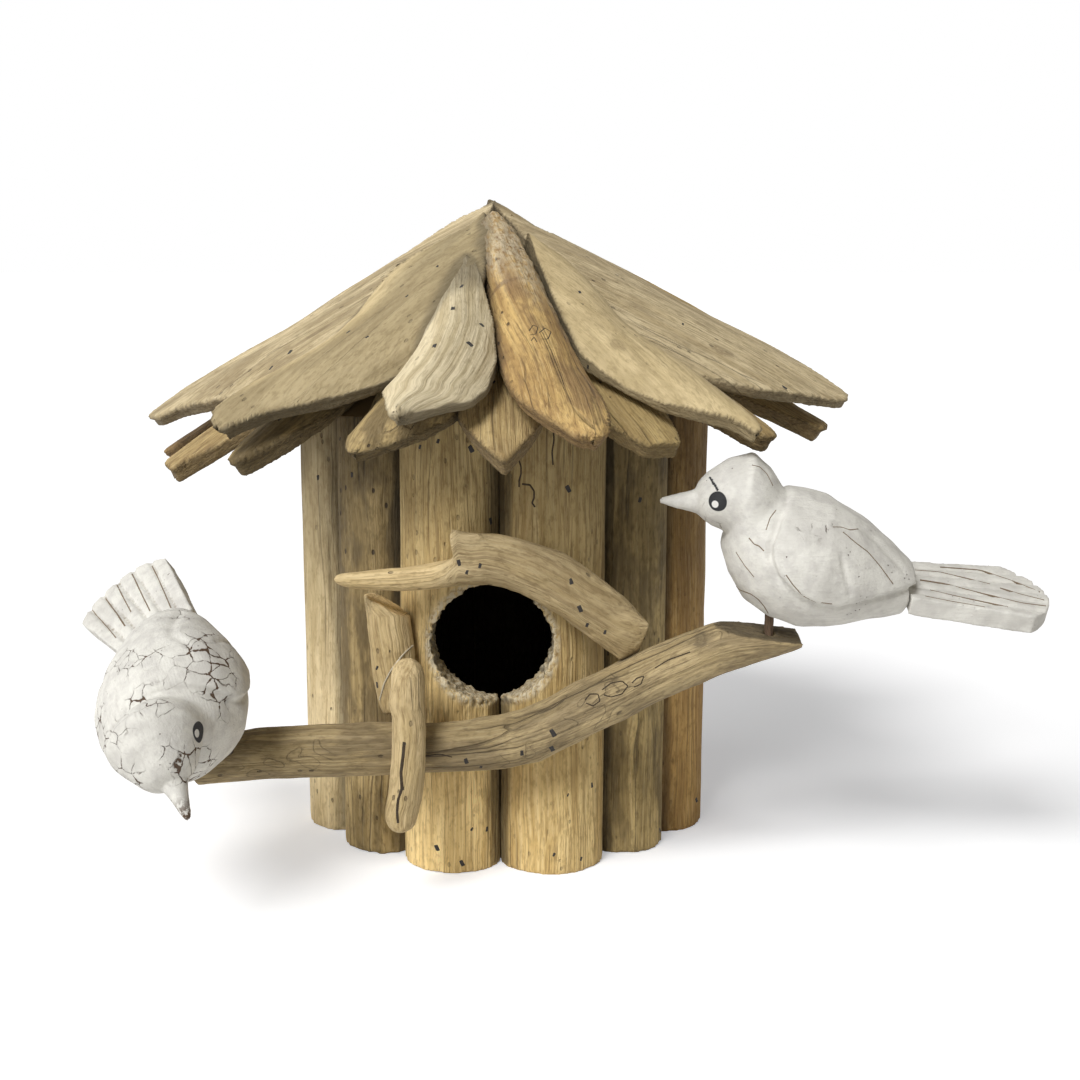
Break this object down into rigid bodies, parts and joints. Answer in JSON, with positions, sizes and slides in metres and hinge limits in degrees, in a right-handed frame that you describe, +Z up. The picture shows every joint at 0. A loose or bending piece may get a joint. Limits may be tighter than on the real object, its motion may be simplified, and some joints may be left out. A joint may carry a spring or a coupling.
{
  "type": "driftwood birdhouse",
  "caption": "Round driftwood birdhouse: half-round staves around a nest chamber, a round entrance, a two-layer petal roof and a branch perch with carved birds.",
  "frame": {"origin": "on the ground, on the axis of the ring of staves", "axes": "+Z up, -Y out of the front with the entrance, +X to the right seen from the front"},
  "size_m": [0.304, 0.2534, 0.2093],
  "materials": {
    "stave_wood": "weathered, bare",
    "petal_wood": "weathered, bare",
    "branch_wood": "weathered, bare",
    "plain_wood": "sawn, bare",
    "painted_wood": "off-white crackled paint",
    "leg_wood": "bare"
  },
  "bodies": {
    "root": {"back_left_outer_stave": "stave_wood", "back_left_stave": "stave_wood", "back_right_outer_stave": "stave_wood", "back_right_stave": "stave_wood", "back_stave": "stave_wood", "brow_branch": "branch_wood", "ceiling_disc": "plain_wood", "crooked_twig": "branch_wood", "floor_disc": "plain_wood", "front_left_stave": "stave_wood", "front_right_stave": "stave_wood", "jamb_stub": "branch_wood", "left_bird_body": "painted_wood", "left_bird_leg": "leg_wood", "left_bird_tail": "painted_wood", "left_front_stave": "stave_wood", "left_rear_stave": "stave_wood", "left_stave": "stave_wood", "lower_petal_back_left": "petal_wood", "lower_petal_back_left_outer": "petal_wood", "lower_petal_back_right": "petal_wood", "lower_petal_back_right_outer": "petal_wood", "lower_petal_front": "petal_wood", "lower_petal_front_left": "petal_wood", "lower_petal_front_left_outer": "petal_wood", "lower_petal_front_right": "petal_wood", "lower_petal_left": "petal_wood", "lower_petal_left_front": "petal_wood", "lower_petal_left_rear": "petal_wood", "lower_petal_right": "petal_wood", "lower_petal_right_front": "petal_wood", "lower_petal_right_rear": "petal_wood", "perch_branch": "branch_wood", "right_bird_body": "painted_wood", "right_bird_leg": "leg_wood", "right_bird_tail": "painted_wood", "right_front_stave": "stave_wood", "right_rear_stave": "stave_wood", "right_stave": "stave_wood", "roof_core": "plain_wood", "upper_petal_back": "petal_wood", "upper_petal_back_left": "petal_wood", "upper_petal_back_right": "petal_wood", "upper_petal_front": "petal_wood", "upper_petal_front_left": "petal_wood", "upper_petal_front_right": "petal_wood", "upper_petal_left": "petal_wood", "upper_petal_left_rear": "petal_wood", "upper_petal_right": "petal_wood", "upper_petal_right_rear": "petal_wood", "upper_petal_short": "petal_wood"}
  },
  "joints": []
}
